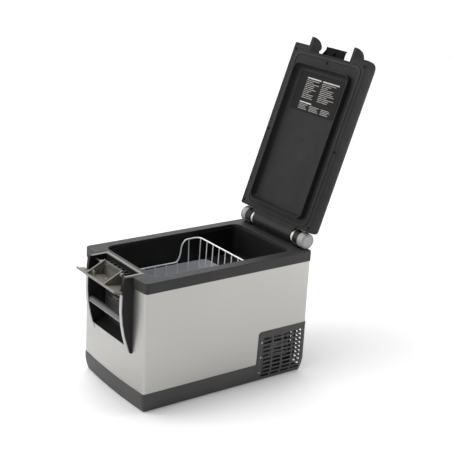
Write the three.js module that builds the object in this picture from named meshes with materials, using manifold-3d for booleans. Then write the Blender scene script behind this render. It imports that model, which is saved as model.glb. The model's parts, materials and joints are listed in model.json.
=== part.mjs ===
// A portable compressor fridge of the chest kind: steel-wrapped body with moulded base and rim,
// hinged lid with a latch lever, carry handles at both ends, wire basket in a cold well and a
// ventilated machine space below a shelf. Millimetres, +Z up, -Y is the latch end, +Y the hinge
// end, origin on the floor in the middle of the body. The lid and the latch are modelled open.
import * as THREE from 'three';
import { mergeVertices } from 'three/addons/utils/BufferGeometryUtils.js';
import Module from 'manifold-3d';

const wasm = await Module();
wasm.setup();

// ---------- driving dimensions ----------
const WIDTH = 380;
const LENGTH = 644;
const RIM_TOP = 436;
const RIM_BOTTOM = 401;
const BASE_H = 65;
const BOW = 8; // how far the two ends bulge
const CORNER_R = 12;
const TUCK_X = 12; // how far the base draws in at the floor
const TUCK_Y = 11;
const TUCK_H = 50;
const STEEL_INSET = 2;
const STEEL_T = 1.2;
const GAP = 0.3;

const OPEN_X = 155; // half width of the rim opening
const OPEN_FRONT = -270;
const OPEN_REAR = 262;
const LINER_X = 150;
const LINER_FRONT = -265;
const LINER_REAR = 257;
const LINER_T = 2.5;
const LEDGE_Z = 424;
const WELL_REAR = 130;
const WELL_FLOOR = 78;
const SHELF_Z = 331;
const SLEEVE_TOP = 328;

const BAY_FRONT = 168; // machine space
const BAY_TOP = 290;

const HANDLE_IN = 101; // half width between the cheeks
const HANDLE_OUT = 122;
const HANDLE_BACK = 292;
const GRIP_Y = 346;
const GRIP_Z = 290;
const GRIP_R = 9.8;
const TRIM_TOP = 380; // upper end of the light trim at the latch end

const HINGE_Y = 313;
const HINGE_Z = 463;
const CAP_R = 26.5;
const LID_OPEN = 109.5; // degrees
const LID_BOTTOM = 438;
const LID_TOP = 490;
const LID_FRONT = -309;
const LID_REAR = 283;
const LID_NOTCH = 18; // depth of the notch that houses the latch
const DISH_Z = 441.5; // bottom of the dish in the lid's underside

const LATCH_Y = -331; // latch pivot
const LATCH_Z = 424;

const BASKET_X = 138;
const BASKET_FRONT = -252;
const BASKET_REAR = 91;
const BASKET_LOW = 340;
const BASKET_HIGH = 417;
const BASKET_FLOOR = 83.2;

const VENT_Y = 122;
const VENT_TOP = 181;
const slotRow = (row) => 13.5 + row * 15.2; // the same rows all round the machine space

// ---------- finishes ----------
const finish = {
  darkPlastic: { color: 0x393a3c, roughness: 0.62, metalness: 0 },
  blackPlastic: { color: 0x17181a, roughness: 0.55, metalness: 0 },
  greyTrim: { color: 0x9c9c98, roughness: 0.5, metalness: 0 },
  latchGrey: { color: 0x8d897f, roughness: 0.5, metalness: 0 },
  steel: { color: 0xb4b3ae, roughness: 0.38, metalness: 0.9 },
  aluminium: { color: 0xb9bdc1, roughness: 0.45, metalness: 0.9 },
  wire: { color: 0xd9d8d4, roughness: 0.35, metalness: 0.2 },
  rubber: { color: 0x1c1c1c, roughness: 0.85, metalness: 0 },
  foam: { color: 0xd8cfa6, roughness: 0.9, metalness: 0 },
  painted: { color: 0x202123, roughness: 0.45, metalness: 0.3 },
  copper: { color: 0xb8744a, roughness: 0.35, metalness: 0.9 },
  window: { color: 0x0d1a20, roughness: 0.08, metalness: 0 },
  lens: { color: 0xe9ecec, roughness: 0.2, metalness: 0 },
  nylon: { color: 0xe4e2da, roughness: 0.4, metalness: 0 },
  label: { color: 0x1f2022, roughness: 0.4, metalness: 0 },
};

// ---------- solids ----------
function toSolid(geometry) {
  const bare = geometry.clone();
  bare.deleteAttribute('normal');
  bare.deleteAttribute('uv');
  const merged = mergeVertices(bare, 1e-4);
  const index = [];
  const from = merged.index.array;
  for (let i = 0; i < from.length; i += 3) {
    const [a, b, c] = [from[i], from[i + 1], from[i + 2]];
    if (a !== b && b !== c && c !== a) index.push(a, b, c);
  }
  return new wasm.Manifold(
    new wasm.Mesh({
      numProp: 3,
      vertProperties: new Float32Array(merged.attributes.position.array),
      triVerts: new Uint32Array(index),
    })
  );
}

function toGeometry(solid) {
  const mesh = solid.getMesh();
  const geometry = new THREE.BufferGeometry();
  geometry.setAttribute('position', new THREE.BufferAttribute(mesh.vertProperties, 3));
  geometry.setIndex(new THREE.BufferAttribute(mesh.triVerts, 1));
  return geometry;
}

function box(x0, x1, y0, y1, z0, z1) {
  const g = new THREE.BoxGeometry(x1 - x0, y1 - y0, z1 - z0);
  g.translate((x0 + x1) / 2, (y0 + y1) / 2, (z0 + z1) / 2);
  return toSolid(g);
}

function shapeOf(points) {
  return new THREE.Shape(points.map(([x, y]) => new THREE.Vector2(x, y)));
}

const ALONG_X = new THREE.Matrix4().makeBasis(
  new THREE.Vector3(0, 1, 0),
  new THREE.Vector3(0, 0, 1),
  new THREE.Vector3(1, 0, 0)
);
const ALONG_Y = new THREE.Matrix4().makeBasis(
  new THREE.Vector3(1, 0, 0),
  new THREE.Vector3(0, 0, 1),
  new THREE.Vector3(0, -1, 0)
);

function extrudeZ(points, z0, z1) {
  const g = new THREE.ExtrudeGeometry(shapeOf(points), { depth: z1 - z0, bevelEnabled: false });
  g.translate(0, 0, z0);
  return toSolid(g);
}

// points are [y, z]
function extrudeX(points, x0, x1) {
  const g = new THREE.ExtrudeGeometry(shapeOf(points), { depth: x1 - x0, bevelEnabled: false });
  g.applyMatrix4(ALONG_X);
  g.translate(x0, 0, 0);
  return toSolid(g);
}

// points are [x, z]
function extrudeY(points, y0, y1) {
  const g = new THREE.ExtrudeGeometry(shapeOf(points), { depth: y1 - y0, bevelEnabled: false });
  g.applyMatrix4(ALONG_Y);
  g.translate(0, y1, 0);
  return toSolid(g);
}

function circle(cx, cy, r, sides, turn = 0) {
  const points = [];
  for (let i = 0; i < sides; i += 1) {
    const a = turn + (i * 2 * Math.PI) / sides;
    points.push([cx + r * Math.cos(a), cy + r * Math.sin(a)]);
  }
  return points;
}

const rodX = (x0, x1, y, z, r, sides = 24) => extrudeX(circle(y, z, r, sides), x0, x1);
const rodY = (y0, y1, x, z, r, sides = 24) => extrudeY(circle(x, z, r, sides), y0, y1);
const rodZ = (z0, z1, x, y, r, sides = 24) => extrudeZ(circle(x, y, r, sides), z0, z1);

function union(list) {
  return list.reduce((a, b) => a.add(b));
}

function cut(solid, ...tools) {
  return tools.flat().reduce((a, b) => a.subtract(b), solid);
}

// A closed skin through level outlines, each with the same number of [x, y] points
function loft(levels) {
  const count = levels[0].outline.length;
  const position = [];
  const index = [];
  for (const { outline, z } of levels) {
    for (const [x, y] of outline) position.push(x, y, z);
  }
  for (let k = 0; k < levels.length - 1; k += 1) {
    for (let i = 0; i < count; i += 1) {
      const j = (i + 1) % count;
      const a = k * count + i;
      const b = k * count + j;
      const c = (k + 1) * count + j;
      const d = (k + 1) * count + i;
      index.push(a, b, c, a, c, d);
    }
  }
  const flat = (outline) => outline.map(([x, y]) => new THREE.Vector2(x, y));
  for (const [a, b, c] of THREE.ShapeUtils.triangulateShape(flat(levels[0].outline), [])) {
    index.push(a, c, b);
  }
  const last = (levels.length - 1) * count;
  const top = levels[levels.length - 1].outline;
  for (const [a, b, c] of THREE.ShapeUtils.triangulateShape(flat(top), [])) {
    index.push(last + a, last + b, last + c);
  }
  const g = new THREE.BufferGeometry();
  g.setAttribute('position', new THREE.Float32BufferAttribute(position, 3));
  g.setIndex(index);
  return toSolid(g);
}

// Plan outline with round corners; bow makes the two Y ends bulge
function plan(x, yFront, yRear, r, bow = 0, arc = 4, across = 6) {
  const points = [];
  const corner = (cx, cy, start) => {
    for (let i = 0; i <= arc; i += 1) {
      const a = ((start + (90 * i) / arc) * Math.PI) / 180;
      points.push([cx + r * Math.cos(a), cy + r * Math.sin(a)]);
    }
  };
  const end = (sign, y) => {
    if (!bow) return;
    const half = x - r;
    for (let i = 1; i < across; i += 1) {
      const px = sign * half * (1 - (2 * i) / across);
      points.push([px, y + sign * bow * (1 - (px / half) ** 2)]);
    }
  };
  corner(x - r, yFront + r, -90);
  corner(x - r, yRear - r, 0);
  end(1, yRear);
  corner(-x + r, yRear - r, 90);
  corner(-x + r, yFront + r, 180);
  end(-1, yFront);
  return points;
}

function bodyPlan(insetX, insetY = insetX) {
  const r = Math.max(3, CORNER_R - Math.min(insetX, insetY));
  return plan(WIDTH / 2 - insetX, -LENGTH / 2 + insetY, LENGTH / 2 - insetY, r, BOW);
}

// The base draws in towards the floor on a curve
const tuck = (z) => Math.max(0, 1 - z / TUCK_H) ** 1.7;
function tuckedBody(z0, z1, inset) {
  const heights = [0, 7, 15, 25, 37, TUCK_H].filter((z) => z > z0 + 1 && z < z1 - 1);
  return loft(
    [z0, ...heights, z1].map((z) => ({
      z,
      outline: bodyPlan(TUCK_X * tuck(z) + inset, TUCK_Y * tuck(z) + inset),
    }))
  );
}

// A wire or pipe through a list of points
class WirePath extends THREE.Curve {
  constructor(points) {
    super();
    this.points = points.map(([x, y, z]) => new THREE.Vector3(x, y, z));
  }

  getPoint(t, target = new THREE.Vector3()) {
    const at = Math.min(Math.max(t, 0), 1) * (this.points.length - 1);
    const i = Math.min(Math.floor(at), this.points.length - 2);
    return target.copy(this.points[i]).lerp(this.points[i + 1], at - i);
  }

  getPointAt(t, target) {
    return this.getPoint(t, target);
  }

  getTangentAt(t, target) {
    return this.getTangent(t, target);
  }
}

function wire(points, r, sides = 6) {
  const path = new WirePath(points);
  const g = new THREE.ExtrudeGeometry(shapeOf(circle(0, 0, r, sides)), {
    steps: points.length - 1,
    extrudePath: path,
    bevelEnabled: false,
  });
  return toSolid(g);
}

function lathe(profile, sides = 20) {
  const g = new THREE.LatheGeometry(
    profile.map(([r, z]) => new THREE.Vector2(r, z)),
    sides
  );
  g.rotateX(Math.PI / 2);
  return toSolid(g);
}

// ---------- the tree ----------
const fridge = new THREE.Group();
const cabinet = new THREE.Group();
const lid = new THREE.Group(); // turned open about the hinge
lid.position.set(0, HINGE_Y, HINGE_Z);
lid.rotation.x = THREE.MathUtils.degToRad(-LID_OPEN);
fridge.add(cabinet, lid);

function add(group, name, solid, look) {
  const mesh = new THREE.Mesh(toGeometry(solid), new THREE.MeshStandardMaterial(finish[look]));
  mesh.name = name;
  group.add(mesh);
}

const addBody = (name, solid, look) => add(cabinet, name, solid, look);
// lid pieces are drawn closed and moved to the hinge's own frame
const addLid = (name, solid, look) =>
  add(lid, name, solid.translate([0, -HINGE_Y, -HINGE_Z]), look);

// ---------- corner vent covers ----------
function ventRegion(grow, side) {
  const y = VENT_Y - grow;
  const top = VENT_TOP + grow;
  const r = 12;
  const arc = [];
  for (let i = 0; i <= 4; i += 1) {
    const a = ((90 + (90 * i) / 4) * Math.PI) / 180;
    arc.push([y + r + r * Math.cos(a), top - r + r * Math.sin(a)]);
  }
  const outline = [[y - 5, 8 - grow], [400, 8 - grow], [400, top], ...arc];
  const inner = 130 - grow;
  return side > 0 ? extrudeX(outline, inner, 220) : extrudeX(outline, -220, -inner);
}

function ventCover(side) {
  const skin = cut(tuckedBody(4, 190, 0), tuckedBody(3, 191, 3));
  const cover = skin.intersect(ventRegion(0, side));
  const slots = [];
  for (let row = 0; row < 10; row += 1) {
    const z = slotRow(row);
    for (let column = 0; column < 4; column += 1) {
      const y = VENT_Y + 19.5 + column * 42;
      slots.push(side > 0 ? box(150, 210, y, y + 34.5, z, z + 9) : box(-210, -150, y, y + 34.5, z, z + 9));
    }
    slots.push(side > 0 ? box(135, 177, 306, 345, z, z + 9) : box(-177, -135, 306, 345, z, z + 9));
  }
  return cut(cover, slots);
}

addBody('vent_cover_right', ventCover(1), 'darkPlastic');
addBody('vent_cover_left', ventCover(-1), 'darkPlastic');

// ---------- base tray ----------
{
  const feet = [-1, 1].flatMap((sx) =>
    [-235, 235].map((y) => rodZ(-1, 4, sx * 140, y, 17, 20))
  );
  const intake = [];
  for (let i = 0; i < 6; i += 1) intake.push(box(-60, 60, 196 + i * 15, 203 + i * 15, -1, 8));
  const shell = cut(
    tuckedBody(0, BASE_H, 0),
    tuckedBody(7, BASE_H + 1, 3.5),
    ventRegion(GAP, 1),
    ventRegion(GAP, -1),
    feet,
    intake
  );
  addBody('base_tray', shell, 'darkPlastic');
  for (const [sx, y, name] of [
    [1, -235, 'foot_front_right'],
    [-1, -235, 'foot_front_left'],
    [1, 235, 'foot_rear_right'],
    [-1, 235, 'foot_rear_left'],
  ]) {
    addBody(name, rodZ(0, 3.7, sx * 140, y, 16.6, 20), 'rubber');
  }
}

// ---------- steel wrap ----------
const REAR_PANEL_X = 129;
const REAR_PANEL_TOP = 173;
{
  const outer = extrudeZ(bodyPlan(STEEL_INSET), BASE_H + GAP, RIM_BOTTOM - GAP);
  const inner = extrudeZ(bodyPlan(STEEL_INSET + STEEL_T), BASE_H - 1, RIM_BOTTOM + 1);
  const wrap = cut(
    outer,
    inner,
    ventRegion(GAP, 1),
    ventRegion(GAP, -1),
    box(-HANDLE_OUT - GAP, HANDLE_OUT + GAP, -340, -300, 181.7, 402),
    box(-HANDLE_OUT - GAP, HANDLE_OUT + GAP, 300, 340, 181.7, 402),
    box(-REAR_PANEL_X - GAP, REAR_PANEL_X + GAP, 300, 340, BASE_H - 1, REAR_PANEL_TOP + GAP)
  );
  addBody('steel_wrap', wrap, 'steel');
}

// ---------- top rim ----------
{
  const skirt = 3;
  const opening = (grow, z0, z1) =>
    extrudeZ(plan(OPEN_X + grow, OPEN_FRONT - grow, OPEN_REAR + grow, 30 + grow), z0, z1);
  const lip = extrudeZ(bodyPlan(0), RIM_BOTTOM, RIM_TOP - 3);
  const crown = loft([
    { z: RIM_TOP - 3, outline: bodyPlan(0) },
    { z: RIM_TOP - 0.8, outline: bodyPlan(0.7) },
    { z: RIM_TOP, outline: bodyPlan(2.2) },
  ]);
  const hollow = cut(
    extrudeZ(bodyPlan(skirt), RIM_BOTTOM - 1, RIM_TOP - skirt),
    opening(skirt, RIM_BOTTOM - 2, RIM_TOP)
  );
  const rim = cut(
    lip.add(crown),
    hollow,
    opening(0, RIM_BOTTOM - 2, RIM_TOP + 1),
    opening(skirt + 2, RIM_BOTTOM - 2, LEDGE_Z + GAP),
    box(-HANDLE_OUT - GAP, HANDLE_OUT + GAP, -345, -HANDLE_BACK + GAP, RIM_BOTTOM - 2, RIM_TOP + 1)
  );
  addBody('top_rim', rim, 'darkPlastic');
}

// ---------- liner, sleeve, insulation, bulkhead ----------
function storage(grow, floor, shelf, top) {
  const well = plan(LINER_X + grow, LINER_FRONT - grow, WELL_REAR + grow, 27 + grow);
  const upper = plan(LINER_X + grow, LINER_FRONT - grow, LINER_REAR + grow, 27 + grow);
  return extrudeZ(well, floor, shelf + 1).add(extrudeZ(upper, shelf, top));
}

{
  const outside = storage(LINER_T, WELL_FLOOR - LINER_T, SHELF_Z - LINER_T, LEDGE_Z - 0.5);
  const ledge = extrudeZ(plan(158, -273, 265, 33), LEDGE_Z - 3, LEDGE_Z);
  const inside = storage(0, WELL_FLOOR, SHELF_Z, LEDGE_Z + 1);
  addBody('inner_liner', cut(outside.add(ledge), inside), 'blackPlastic');
}
{
  const ring = (grow, z0, z1) =>
    extrudeZ(plan(LINER_X - grow, LINER_FRONT + grow, WELL_REAR - grow, 27 - grow), z0, z1);
  const sleeve = cut(ring(GAP, 84, SLEEVE_TOP), ring(2.3, 83, SLEEVE_TOP + 1));
  addBody('cold_sleeve', sleeve, 'aluminium');
}
{
  const lowFront = extrudeZ(plan(171, -304, BAY_FRONT, 10), 22, BASE_H + 2);
  const shaft = extrudeZ(bodyPlan(STEEL_INSET + STEEL_T + GAP), BASE_H + 1, RIM_BOTTOM - 0.5);
  const crown = extrudeZ(bodyPlan(3.3), RIM_BOTTOM - 0.6, RIM_TOP - 3.3);
  const bay = box(-200, 200, BAY_FRONT, 400, -5, BAY_TOP + 6);
  const foam = cut(
    union([lowFront, shaft, crown]),
    bay,
    storage(LINER_T + GAP, WELL_FLOOR - LINER_T - GAP, SHELF_Z - LINER_T - GAP, LEDGE_Z - 3),
    extrudeZ(plan(160.4, -275.4, 267.4, 35), LEDGE_Z - 3 - GAP, RIM_TOP + 1),
    box(-HANDLE_OUT - GAP, HANDLE_OUT + GAP, -350, -HANDLE_BACK + GAP, 181.7, RIM_TOP + 1),
    box(-HANDLE_OUT - GAP, HANDLE_OUT + GAP, HANDLE_BACK - GAP, 350, 181.7, 400.6),
    [-1, 1].map((sx) => box(sx > 0 ? 181.7 : -200, sx > 0 ? 200 : -181.7, 126.7, 170, 60, 181.4))
  );
  addBody('insulation', foam, 'foam');
}
{
  const sheet = extrudeX(
    [
      [BAY_FRONT + 0.3, 12],
      [BAY_FRONT + 2.3, 12],
      [BAY_FRONT + 2.3, BAY_TOP + 3.7],
      [285, BAY_TOP + 3.7],
      [285, BAY_TOP + 5.7],
      [BAY_FRONT + 0.3, BAY_TOP + 5.7],
    ],
    -165,
    165
  );
  const wings = [-1, 1].flatMap((sx) => {
    const wing = (x0, x1, y0, z0, z1) =>
      box(sx > 0 ? x0 : -x1, sx > 0 ? x1 : -x0, y0, BAY_FRONT + 2.3, z0, z1);
    return [
      wing(164, 184, BAY_FRONT + 0.3, 63.4, VENT_TOP),
      wing(182, 184, 127, 63.4, VENT_TOP),
      wing(171.4, 184, 127, 63.4, 65.4),
      wing(171.4, 173.4, 127, 14, 65.4),
      wing(164, 173.4, BAY_FRONT + 0.3, 14, 65.4),
    ];
  });
  addBody('bay_bulkhead', union([sheet, ...wings]), 'painted');
}

// ---------- end handles ----------
// cheek outline in [distance from the middle of the body, height], drawn for the latch end
const cheekTop = RIM_TOP - 0.3;
function cheekFront(grow) {
  return [
    [351 + grow * 0.7, cheekTop],
    [355 + grow, 405],
    [358 + grow, 365],
    [358.5 + grow, 325],
    [354.5 + grow, 280],
    [347 + grow, 240],
    [338 + grow, 207],
    [331.5 + grow, 186],
  ];
}

// the part of an outline between two heights
function between(list, top, bottom) {
  const at = (z) => {
    const i = Math.max(1, list.findIndex(([, h]) => h <= z));
    const [d0, z0] = list[i - 1];
    const [d1, z1] = list[i];
    return [d0 + ((d1 - d0) * (z0 - z)) / (z0 - z1), z];
  };
  return [at(top), ...list.filter(([, z]) => z < top - 1 && z > bottom + 1), at(bottom)];
}

const endX = (end) => (points, x0, x1) =>
  extrudeX(points.map(([d, z]) => [end * d, z]), x0, x1);

// the cheeks' outer flanks draw in towards the front
function flanks(end) {
  return [-1, 1].map((sx) =>
    extrudeZ(
      [
        [sx * (HANDLE_OUT + 0.1), end * 325],
        [sx * (HANDLE_OUT - 9), end * 366],
        [sx * 140, end * 366],
        [sx * 140, end * 325],
      ],
      170,
      RIM_TOP + 5
    )
  );
}

const POCKET_Z = 205;
function handleHousing(end, top) {
  const solidX = endX(end);
  const trimTop = end < 0 ? TRIM_TOP : top;
  const front = between(cheekFront(0), trimTop, 186);
  const raised = end < 0 ? between(cheekFront(2.5), top, TRIM_TOP + GAP) : [];
  const outline = [[HANDLE_BACK, 182], [HANDLE_BACK, top], ...raised, ...front, [329.5, 182]];
  const back = HANDLE_BACK + 3;
  const hollowTop = end < 0 ? top + 20 : top - 6;
  const mouth = [[400, hollowTop], [400, POCKET_Z], [331, POCKET_Z], [300, 216]];
  const hollow = solidX([[back, 222], [back, hollowTop], ...mouth], -HANDLE_IN, HANDLE_IN);
  const block = solidX(outline, -HANDLE_OUT, HANDLE_OUT);
  return cut(block, hollow, flanks(end));
}

// one U-shaped trim: a strip down each cheek and a thin line under the pocket
function bezel(end, top) {
  const solidX = endX(end);
  const band = (z1, z0, foot) => [
    ...between(cheekFront(2.8), z1, z0),
    ...foot,
    ...between(cheekFront(GAP), z1, z0).reverse(),
  ];
  const strip = band(top, 186, [[333.2, 183.4], [331, 183.4]]);
  const strips = [
    solidX(strip, -HANDLE_OUT, -HANDLE_IN),
    solidX(strip, HANDLE_IN, HANDLE_OUT),
    solidX(band(POCKET_Z, POCKET_Z - 4.5, []), -HANDLE_IN - 1, HANDLE_IN + 1),
  ];
  return cut(union(strips), flanks(end));
}

{
  // latch end: open at the top, with a ribbed ledge behind the latch
  const ledge = box(-62, 62, -316.5, -294, 414, 424);
  const grooves = [-48, -24, 0, 24, 48].map((x) => box(x - 6, x + 6, -313, -299, 417, 425));
  const pinHole = rodX(-HANDLE_OUT + 6, HANDLE_OUT - 6, LATCH_Y, LATCH_Z, 3.3, 16);
  const panelSeat = box(-92.3, 92.3, -296, -293.5, 231.7, 356.3);
  addBody(
    'front_handle_housing',
    cut(handleHousing(-1, cheekTop).add(cut(ledge, grooves)), pinHole, panelSeat),
    'blackPlastic'
  );
  addBody('front_bezel', bezel(-1, TRIM_TOP), 'greyTrim');
  const bar = rodX(-HANDLE_IN + GAP, HANDLE_IN - GAP, -GRIP_Y, GRIP_Z, GRIP_R, 20);
  addBody('front_grip_bar', bar, 'greyTrim');
}
{
  addBody('rear_handle_housing', handleHousing(1, 398), 'blackPlastic');
  addBody('rear_bezel', bezel(1, 398), 'greyTrim');
  const bar = rodX(-HANDLE_IN + GAP, HANDLE_IN - GAP, GRIP_Y, GRIP_Z, GRIP_R, 20);
  addBody('rear_grip_bar', bar, 'greyTrim');
}

// ---------- control panel in the latch-end recess ----------
const PANEL_FACE = -299.5;
const BUTTON_Z = 333;
const buttonXs = { power: -66, set: 18, down: 46, up: 74 };
{
  const plate = box(-92, 92, PANEL_FACE, -293.8, 232, 356);
  const window = box(-52.3, 2.3, -301, -297, 316.7, 349.3);
  const holes = Object.values(buttonXs).map((x) => rodY(-301, -295.5, x, BUTTON_Z, 8.3, 16));
  addBody('control_panel', cut(plate, window, holes), 'darkPlastic');
  addBody('display_window', box(-52, 2, -299.8, -297.3, 317, 349), 'window');
  for (const [name, x] of Object.entries(buttonXs)) {
    addBody(`button_${name}`, rodY(-301.5, -297.6, x, BUTTON_Z, 8, 16), 'latchGrey');
  }
}

// ---------- latch lever, drawn open ----------
{
  const lip = [
    [-388, 391.5],
    [-364, 388.5],
    [-362.5, 389],
    [-362.5, 394],
    [-384.5, 397],
    [-388, 401.5],
    [-392, 400.5],
    [-391.5, 394.5],
  ];
  const floor = [
    [-364, 388.7],
    [-345, 384.5],
    [-330, 383],
    [-326.5, 385],
    [-327, 389],
    [-364, 394.3],
  ];
  const arm = [
    [-389, 393],
    [-364, 389.5],
    [-345, 385.5],
    [-327, 386],
    [-321.5, 420],
    [-322.5, 433],
    [-325.5, 436],
    [-389.5, 404.5],
  ];
  const backWall = [
    [-330, 386],
    [-327, 386],
    [-321.5, 420],
    [-322.5, 433],
    [-325.5, 434],
    [-325.5, 420],
  ];
  const hook = [
    [-369.9, 392.3],
    [-372.3, 411.8],
    [-375.2, 411.7],
    [-374.5, 392.8],
  ];
  const rib = [
    [-378, 394.5],
    [-374.5, 394.5],
    [-364, 413],
    [-367.5, 411.5],
  ];
  const arms = [-57, 51].map((x) => extrudeX(arm, x, x + 6));
  const hubs = [rodX(-70, -56, LATCH_Y, LATCH_Z, 6.5, 16), rodX(56, 70, LATCH_Y, LATCH_Z, 6.5, 16)];
  const ribs = [0, 15, 30].map((shift) =>
    extrudeX(rib, -51.5, -49).translate([0, shift, -0.1 * shift])
  );
  const lever = cut(
    union([
      extrudeX(lip, -120, 120),
      extrudeX(floor, -97, 97),
      ...arms,
      ...hubs,
      ...ribs,
      extrudeX(backWall, -52, 52),
      extrudeX(hook, -46, -32),
      extrudeX(hook, 32, 46),
    ]),
    rodX(-110, 110, LATCH_Y, LATCH_Z, 3.3, 12)
  );
  addBody('latch_lever', lever, 'latchGrey');
  addBody('latch_pin', rodX(-115.7, 115.7, LATCH_Y, LATCH_Z, 3, 12), 'steel');
}

// ---------- hinge on the rim ----------
for (const [side, sx] of [['right', 1], ['left', -1]]) {
  const span = (a, b) => (sx > 0 ? [a, b] : [-b, -a]);
  const bore = rodX(...span(100, 160), HINGE_Y, HINGE_Z, 10.3, 16);
  const foot = extrudeX(
    [
      [292, RIM_TOP + GAP],
      [334, RIM_TOP + GAP],
      [338, 450],
      [330, HINGE_Z],
      [296, HINGE_Z],
      [288.5, 450],
    ],
    ...span(119, 145)
  );
  const knuckle = cut(
    union([
      rodX(...span(119, 145), HINGE_Y, HINGE_Z, 26, 28),
      rodX(...span(105.3, 120), HINGE_Y, HINGE_Z, 13, 20),
      foot,
    ]),
    bore
  );
  addBody(`hinge_knuckle_${side}`, knuckle, 'blackPlastic');
  const profile = [
    [0, 0],
    [CAP_R, 0],
    [CAP_R, 24.5],
    [CAP_R - 2.5, 27],
    [0, 27],
  ];
  const cap = lathe(profile, 28)
    .rotate([0, 90 * sx, 0])
    .translate([sx * 145.3, HINGE_Y, HINGE_Z]);
  addBody(`hinge_cap_${side}`, cut(cap, rodX(...span(140, 160.3), HINGE_Y, HINGE_Z, 10.3, 16)),
    'greyTrim');
}
for (const [side, x] of [['right', 104.6], ['left', -118.6]]) {
  const washer = cut(
    rodX(x, x + 14, HINGE_Y, HINGE_Z, 21.5, 28),
    rodX(x - 1, x + 15, HINGE_Y, HINGE_Z, 13.3, 20)
  );
  addBody(`hinge_washer_${side}`, washer, 'nylon');
}
addBody('hinge_pin', rodX(-160, 160, HINGE_Y, HINGE_Z, 10, 16), 'steel');

// ---------- lid, drawn closed ----------
const lidRings = (inset, z0) =>
  [
    [z0, 0, 0, 0],
    [462, 0, 1.5, 0],
    [472, 1.5, 5.5, 0.5],
    [479, 4, 11, 2],
    [485, 8, 20, 5],
    [LID_TOP - 1.5, 13, 30, 9],
    [LID_TOP, 19, 40, 14],
  ].map(([z, side, front, rear]) => ({
    z: z > z0 ? z - inset * 0.9 : z,
    outline: plan(
      WIDTH / 2 - side - inset,
      LID_FRONT + front + inset,
      LID_REAR - rear - inset,
      6 - inset
    ),
  }));

const lidNotch = (grow) =>
  box(-HANDLE_IN - grow, HANDLE_IN + grow, LID_FRONT - 9, LID_FRONT + LID_NOTCH + grow,
    LID_BOTTOM - 30, LID_TOP + 10);

function lidPlate(x, front, rear, r, z0, z1) {
  return extrudeZ(plan(x, front, rear, r), z0, z1);
}

{
  const horn = [[LID_FRONT + 12, LID_BOTTOM], [LID_FRONT + 12, 474]];
  for (let i = 0; i <= 7; i += 1) {
    const a = ((90 - (90 * i) / 7) * Math.PI) / 180;
    horn.push([LID_FRONT - 31 * Math.cos(a), LID_BOTTOM + 46 * Math.sin(a)]);
  }
  const horns = [-116, HANDLE_IN].map((x) => extrudeX(horn, x, x + 15));
  const outer = cut(loft(lidRings(0, LID_BOTTOM)), lidNotch(0));
  const inner = cut(loft(lidRings(3, LID_BOTTOM - 1)), lidNotch(3));
  const flange = box(-116, 116, LID_REAR - 3, LID_REAR + 13, LID_BOTTOM, LID_BOTTOM + 1.4);
  const shell = cut(
    union([outer, ...horns]),
    inner,
    box(-106, 106, LID_REAR - 1, LID_REAR + 5, LID_BOTTOM + 2, LID_TOP)
  ).add(flange);
  addLid('lid_shell', shell, 'darkPlastic');
}
{
  const tray = union([
    lidPlate(186.6, LID_FRONT + 3.4, LID_REAR - 3.4, 2.6, LID_BOTTOM, LID_BOTTOM + 3),
    lidPlate(142, -246, 253, 24, LID_BOTTOM - 17.5, LID_BOTTOM + 1),
    lidPlate(132, -235, 243, 16, LID_BOTTOM, DISH_Z + 3),
  ]);
  const dish = loft([
    { z: LID_BOTTOM - 19, outline: plan(138.6, -242.6, 249.6, 21) },
    { z: LID_BOTTOM - 15, outline: plan(137.6, -241.6, 248.6, 20) },
    { z: LID_BOTTOM - 3, outline: plan(134, -237, 245, 17) },
    { z: DISH_Z, outline: plan(129, -231, 239, 12) },
  ]);
  const grooveOut = lidPlate(170, -284.5, 273, 30, LID_BOTTOM - 1, LID_BOTTOM + 1.6);
  const grooveIn = lidPlate(160, -274.5, 265, 22, LID_BOTTOM - 2, LID_BOTTOM + 3);
  const groove = cut(grooveOut, grooveIn);
  addLid('lid_liner', cut(tray, dish, groove, lidNotch(3.4)), 'blackPlastic');
  const sealOut = lidPlate(169.7, -284.2, 272.7, 29.7, LID_BOTTOM - 1.5, LID_BOTTOM + 1.3);
  const sealIn = lidPlate(160.3, -274.8, 265.3, 22.3, LID_BOTTOM - 3, LID_BOTTOM + 3);
  addLid('lid_seal', cut(sealOut, sealIn), 'rubber');
  const core = cut(
    loft(lidRings(3.4, LID_BOTTOM + 3.3)),
    lidPlate(132.4, -235.4, 243.4, 16, LID_BOTTOM, DISH_Z + 3.3),
    lidNotch(3.4)
  );
  addLid('lid_insulation', core, 'foam');
  const plate = lidPlate(112, -222, -88, 5, DISH_Z - 1, DISH_Z - GAP);
  addLid('lid_label_plate', plate, 'label');
}
{
  const wall = LID_FRONT + LID_NOTCH;
  const flange = box(-50, 50, wall - 2.8, wall - GAP, 445, 461);
  const tongue = box(-48, 48, LID_FRONT - 12, wall - 2, 456, 461);
  const nose = box(-48, 48, LID_FRONT - 12, LID_FRONT - 8.5, 456, 463.6);
  const ribs = [-48, -2, 44].map((x) =>
    extrudeX(
      [
        [wall - 2, 446],
        [wall - 2, 457],
        [LID_FRONT - 4, 457],
      ],
      x,
      x + 4
    )
  );
  addLid('lid_catch', union([flange, tongue, nose, ...ribs]), 'blackPlastic');
}
{
  const barrel = rodX(-104, 104, HINGE_Y, HINGE_Z, 26, 28);
  const web = extrudeX(
    [
      [LID_REAR - 0.7, LID_BOTTOM + 3],
      [HINGE_Y - 10, LID_BOTTOM + 1.5],
      [HINGE_Y, HINGE_Z],
      [HINGE_Y - 6, LID_TOP - 1.8],
      [LID_REAR - 0.7, LID_TOP - 14],
    ],
    -104,
    104
  );
  const bore = rodX(-106, 106, HINGE_Y, HINGE_Z, 10.3, 16);
  addLid('lid_hinge_barrel', cut(barrel.add(web), bore), 'blackPlastic');
}

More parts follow.
